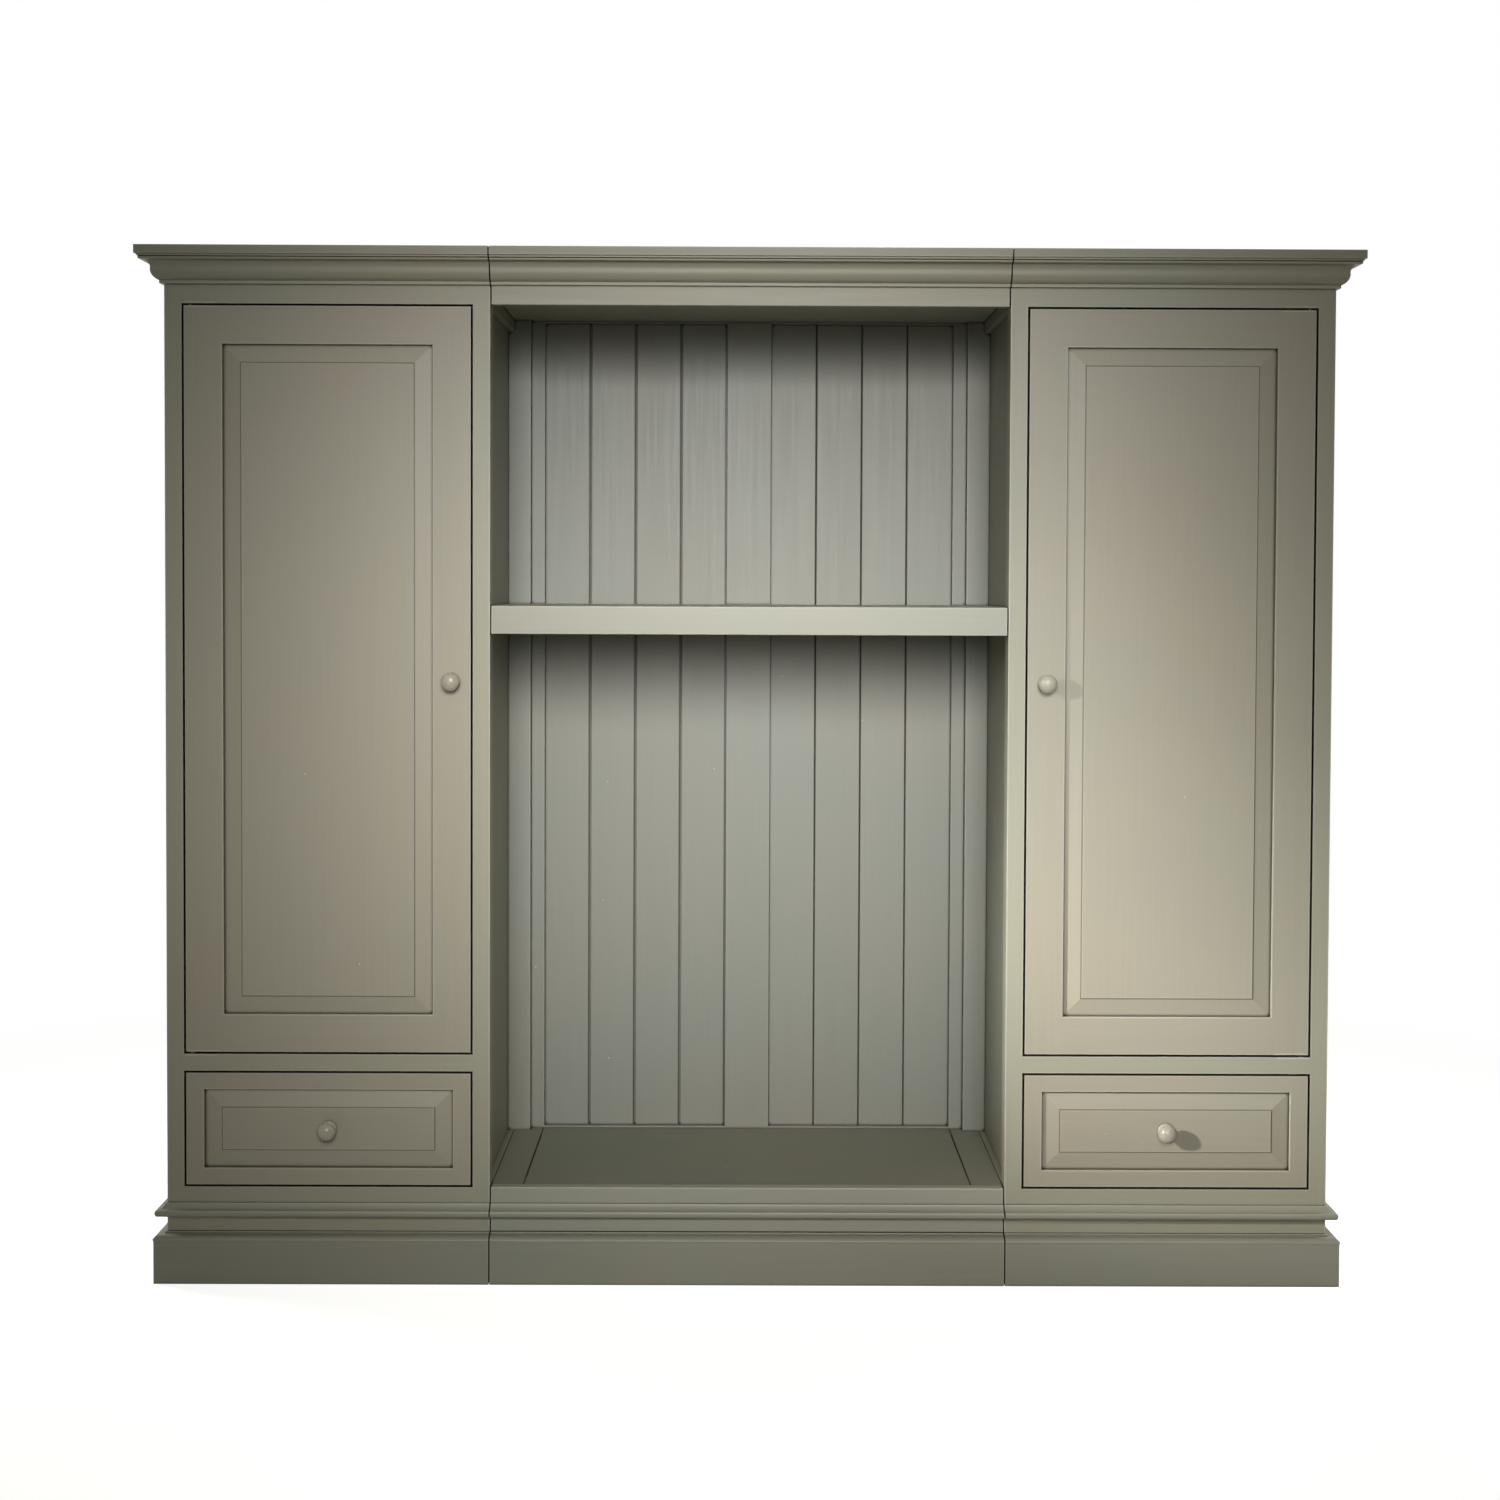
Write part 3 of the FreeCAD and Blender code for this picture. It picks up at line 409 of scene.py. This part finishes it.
    finishes = {
        "outer_side": (upright, EASE_JOINERY),
        "inner_side": (bay_side, EASE_JOINERY),
        "face_frame": (face, EASE_JOINERY),
        "top_board": (level, EASE_JOINERY),
        "cupboard_floor": (level, EASE_JOINERY),
        "base_board": (board_pine, EASE_JOINERY),
        "back_boards": (right_boards, EASE_PANEL),
        "shelves": (level, EASE_JOINERY),
        "shelf_pegs": (brass, EASE_FINE),
        "drawer_runners": (strip_pine, EASE_JOINERY),
        "plinth": (foot, EASE_MOULDING),
        "base_moulding": (foot, EASE_FINE),
        "cornice": (level, EASE_MOULDING),
        "pivot_pins": (blued, EASE_FINE),
        "door_frame": (door, EASE_JOINERY),
        "door_panel": (door_field, EASE_PANEL),
        "door_knob": (knob, None),
        "pivot_sockets": (blued, EASE_FINE),
        "drawer_frame": (drawer, EASE_JOINERY),
        "drawer_panel": (drawer_field, EASE_PANEL),
        "drawer_knob": (knob, None),
        "drawer_box": (box_pine, EASE_PANEL),
        "drawer_bottom": (board_pine, EASE_PANEL),
        "bay_plinth": (foot, EASE_MOULDING),
        "bay_base_moulding": (foot, EASE_FINE),
        "bench_front_rail": (bay_level, EASE_SHELF),
        "bench_bearers": (strip_pine, EASE_JOINERY),
        "bench_top": (bench, EASE_PANEL),
        "corner_posts": (bay_upright, EASE_JOINERY),
        "bay_back_frame": (back, EASE_JOINERY),
        "bay_back_boards": (bay_boards, EASE_PANEL),
        "bay_shelf": (bay_level, EASE_SHELF),
        "shelf_cleats": (bay_level, EASE_JOINERY),
        "bay_fascia": (level, EASE_SHELF),
        "bay_ceiling": (bay_level, EASE_JOINERY),
        "bay_cornice": (level, EASE_MOULDING),
        "connector_bolts": (zinc, EASE_FINE),
    }
    for name, piece in nodes.items():
        kind = name.removeprefix("left_").removeprefix("right_")
        material, width = finishes[kind]
        coat(piece, material)
        if width:
            edges = crisp if material in (door_field, drawer_field) else crease
            eased(piece, width, edges, joined=material not in (brass, zinc, blued))
    return zinc


def new_piece(name, mesh_data, material, body):
    """Turns a finished bmesh into a piece with one finish that moves with a body."""
    bmesh.ops.recalc_face_normals(mesh_data, faces=mesh_data.faces)
    mesh = bpy.data.meshes.new(name)
    mesh_data.to_mesh(mesh)
    mesh_data.free()
    piece = bpy.data.objects.new(name, mesh)
    bpy.context.scene.collection.objects.link(piece)
    coat(piece, material)
    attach(piece, body)


def knob_screw(name, centre, material, body):
    """The slotted, slightly domed head of the screw that holds a knob from behind; it faces the rear."""
    radius, rise, slot_width, slot_depth = 4 * MM, 0.9 * MM, 1.1 * MM, 0.6 * MM
    crown = radius - 0.5 * MM
    steps = 10
    mesh = bmesh.new()

    def half_turn(r, turned):
        """Angles round one half of the head, between the ends of the slot."""
        cut = math.asin(slot_width / 2 / r)
        return [turned + cut + (math.pi - 2 * cut) * i / steps for i in range(steps + 1)]

    def ring(r, height, angles):
        return [mesh.verts.new(centre + Vector((r * math.cos(a), height, r * math.sin(a)))) for a in angles]

    ends = []
    halves = []
    for turned in (0, math.pi):
        outer_angles, crown_angles = half_turn(radius, turned), half_turn(crown, turned)
        foot = ring(radius, 0, outer_angles)
        rim = ring(radius, rise * 0.55, outer_angles)
        top = ring(crown, rise, crown_angles)
        floor = ring(radius, rise - slot_depth, (outer_angles[0], outer_angles[-1]))
        for i in range(steps):
            mesh.faces.new((rim[i], rim[i + 1], top[i + 1], top[i]))
        for i in range(1, steps - 1):
            mesh.faces.new((foot[i], foot[i + 1], rim[i + 1], rim[i]))
        mesh.faces.new((foot[0], foot[1], rim[1], rim[0], floor[0]))
        mesh.faces.new((foot[-2], foot[-1], floor[1], rim[-1], rim[-2]))
        mesh.faces.new(top)
        mesh.faces.new((floor[0], rim[0], top[0], top[-1], rim[-1], floor[1]))
        halves.append(foot)
        ends.append(floor)
    mesh.faces.new((ends[0][0], ends[0][1], ends[1][0], ends[1][1]))
    mesh.faces.new((halves[0][-1], halves[1][0], ends[1][0], ends[0][1]))
    mesh.faces.new((halves[1][-1], halves[0][0], ends[0][0], ends[1][1]))
    mesh.faces.new(halves[0] + halves[1])
    new_piece(name, mesh, material, body)


def dovetail_pins(name, side, material, body):
    """The end grain of the pins that show on the outside of a drawer's two sides, a hair proud of them."""
    low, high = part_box(side + "_drawer_box")
    proud, let_in, shoulder = 0.12 * MM, 0.5 * MM, 0.3 * MM
    count = 5
    pitch = (high.z - low.z) / count
    narrow, wide = pitch * 0.1, pitch * 0.16
    mesh = bmesh.new()
    for face_x, outward in ((low.x, -1), (high.x, 1)):
        for end_y, inward in ((low.y, 1), (high.y, -1)):
            for i in range(1, count):
                height = low.z + pitch * i
                tip_y = end_y + shoulder * inward
                root_y = end_y + DRAWER_BOARD * inward
                outline = [(tip_y, height - narrow), (tip_y, height + narrow),
                           (root_y, height + wide), (root_y, height - wide)]
                rings = [[mesh.verts.new((face_x + outward * depth, y, z)) for y, z in outline]
                         for depth in (-let_in, proud)]
                for a in range(4):
                    b = (a + 1) % 4
                    mesh.faces.new((rings[0][a], rings[0][b], rings[1][b], rings[1][a]))
                mesh.faces.new(rings[0])
                mesh.faces.new(rings[1])
    new_piece(name, mesh, material, body)


def small_parts(zinc):
    """Screws behind the knobs and dovetails on the drawer boxes."""
    end_grain = pine("pine_end_grain", along="x", pale=PINE_END_PALE, dark=PINE_END_DARK)
    for side in ("left", "right"):
        behind_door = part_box(side + "_door_frame")[1].y
        behind_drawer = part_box(side + "_drawer_box")[0].y + DRAWER_BOARD
        for body, behind in ((side + "_door", behind_door), (side + "_drawer", behind_drawer)):
            low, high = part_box(body + "_knob")
            middle = (low + high) / 2
            knob_screw(body + "_knob_screw", Vector((middle.x, behind, middle.z)), zinc, body)
        dovetail_pins(side + "_drawer_pins", side, end_grain, side + "_drawer")


def seen_directly(tree):
    """One for camera rays and for rays that metal and glass send on."""
    seen = add(tree, "ShaderNodeLightPath", out="Is Camera Ray")
    for ray in ("Is Glossy Ray", "Is Transmission Ray"):
        seen = add(tree, MATH, (0, seen), (1, add(tree, "ShaderNodeLightPath", out=ray)), operation="MAXIMUM")
    return seen


def studio_floor():
    """A wide pale floor that shows white to the camera and keeps the object's shadow."""
    half = 30
    glow_level = 0.8
    near_edge, far_edge = 1.6, 3.2
    mesh = bpy.data.meshes.new("floor")
    corners = [(-half, -half, 0), (half, -half, 0), (half, half, 0), (-half, half, 0)]
    mesh.from_pydata(corners, [], [(0, 1, 2, 3)])
    floor = bpy.data.objects.new("floor", mesh)
    bpy.context.scene.collection.objects.link(floor)
    material, tree, place = empty_finish("studio_floor")
    shaded = add(tree, "ShaderNodeBsdfDiffuse", ("Color", linear(FLOOR_SHADED)))
    glow = add(tree, "ShaderNodeEmission", ("Color", linear(WHITE)), ("Strength", glow_level))
    near = add(tree, "ShaderNodeAddShader", (0, shaded), (1, glow))
    white = add(tree, "ShaderNodeEmission", ("Color", linear(WHITE)), ("Strength", 1))
    reach = add(tree, VECTOR, (0, place), operation="LENGTH", out="Value")
    away = add(tree, RANGE, ("Value", reach), ("From Min", near_edge), ("From Max", far_edge))
    bright = add(tree, "ShaderNodeMixShader", (0, away), (1, near), (2, white))
    plain = add(tree, "ShaderNodeBsdfDiffuse", ("Color", linear(FLOOR_PALE)))
    mix = add(tree, "ShaderNodeMixShader", (0, seen_directly(tree)), (1, plain), (2, bright))
    add(tree, OUTPUT, ("Surface", mix))
    mesh.materials.append(material)


def studio_world():
    """Even fill light from all round, seen as white."""
    world = bpy.data.worlds.new("studio")
    bpy.context.scene.world = world
    world.use_nodes = True
    tree = world.node_tree
    tree.nodes.clear()
    fill = add(tree, "ShaderNodeBackground", ("Color", linear(FILL)), ("Strength", 0.115))
    white = add(tree, "ShaderNodeBackground", ("Color", linear(WHITE)), ("Strength", 1))
    mix = add(tree, "ShaderNodeMixShader", (0, seen_directly(tree)), (1, fill), (2, white))
    add(tree, "ShaderNodeOutputWorld", ("Surface", mix))


def softbox(name, place, target, width, height, power, spread):
    """A plain white soft light that the camera doesn't see."""
    lamp = bpy.data.lights.new(name, "AREA")
    lamp.shape = "RECTANGLE"
    lamp.size = width
    lamp.size_y = height
    lamp.energy = power
    lamp.spread = math.radians(spread)
    light = bpy.data.objects.new(name, lamp)
    bpy.context.scene.collection.objects.link(light)
    light.location = place
    light.rotation_euler = (Vector(target) - Vector(place)).to_track_quat("-Z", "Y").to_euler()
    light.visible_camera = False


def photo_camera():
    """The photograph's view, from the measured place, turn, pitch and roll."""
    camera_x, camera_y, camera_z = -0.02014, -4.52068, 1.35632
    turn, pitch, roll = math.radians(0.231), math.radians(-1.711), math.radians(0.231)
    view_width = 1500
    view_length = 2226.12
    middle_x, middle_y = 747.853, 651.348
    camera = bpy.data.cameras.new("camera")
    camera.sensor_width = 36
    camera.lens = view_length / view_width * camera.sensor_width
    camera.shift_x = (view_width / 2 - middle_x) / view_width
    camera.shift_y = (middle_y - view_width / 2) / view_width
    ahead = Vector((math.sin(turn) * math.cos(pitch), math.cos(turn) * math.cos(pitch), math.sin(pitch)))
    right = Vector((math.cos(turn), -math.sin(turn), 0))
    up = right.cross(ahead)
    tilted_right = right * math.cos(roll) + up * math.sin(roll)
    tilted_up = up * math.cos(roll) - right * math.sin(roll)
    axes = Matrix((tilted_right, tilted_up, -ahead)).transposed()
    holder = bpy.data.objects.new("camera", camera)
    holder.matrix_world = Matrix.Translation((camera_x, camera_y, camera_z)) @ axes.to_4x4()
    bpy.context.scene.collection.objects.link(holder)
    bpy.context.scene.camera = holder


# Name, place, target, width and height, watts, and spread in degrees
LAMPS = (
    ("key_light", (0.02, -3.45, 2.0), (0.03, 0, 1.0), 1.5, 1.3, 9.5, 38),
    ("window_light_low", (-3.2, -2.7, 2.1), (0.92, -0.23, 0.5), 0.22, 0.22, 2.0, 14),
    ("window_light_high", (-3.2, -2.7, 2.1), (0.72, -0.25, 1.13), 0.22, 0.22, 0.2, 9),
    ("left_light", (-3.7, 1.5, 1.9), (-1.13, 0.03, 1.0), 1.2, 1.2, 11, 76),
    ("right_light", (3.7, 1.5, 1.9), (1.13, 0.03, 1.0), 1.2, 1.2, 11, 76),
    ("rear_light", (0.5, 4.2, 3.6), (0, 0.27, 1.1), 1.6, 1.6, 17, 72),
)

small_parts(finish_all())
studio_floor()
studio_world()
for lamp_row in LAMPS:
    softbox(*lamp_row)
photo_camera()

scene = bpy.context.scene
scene.view_settings.view_transform = "Standard"
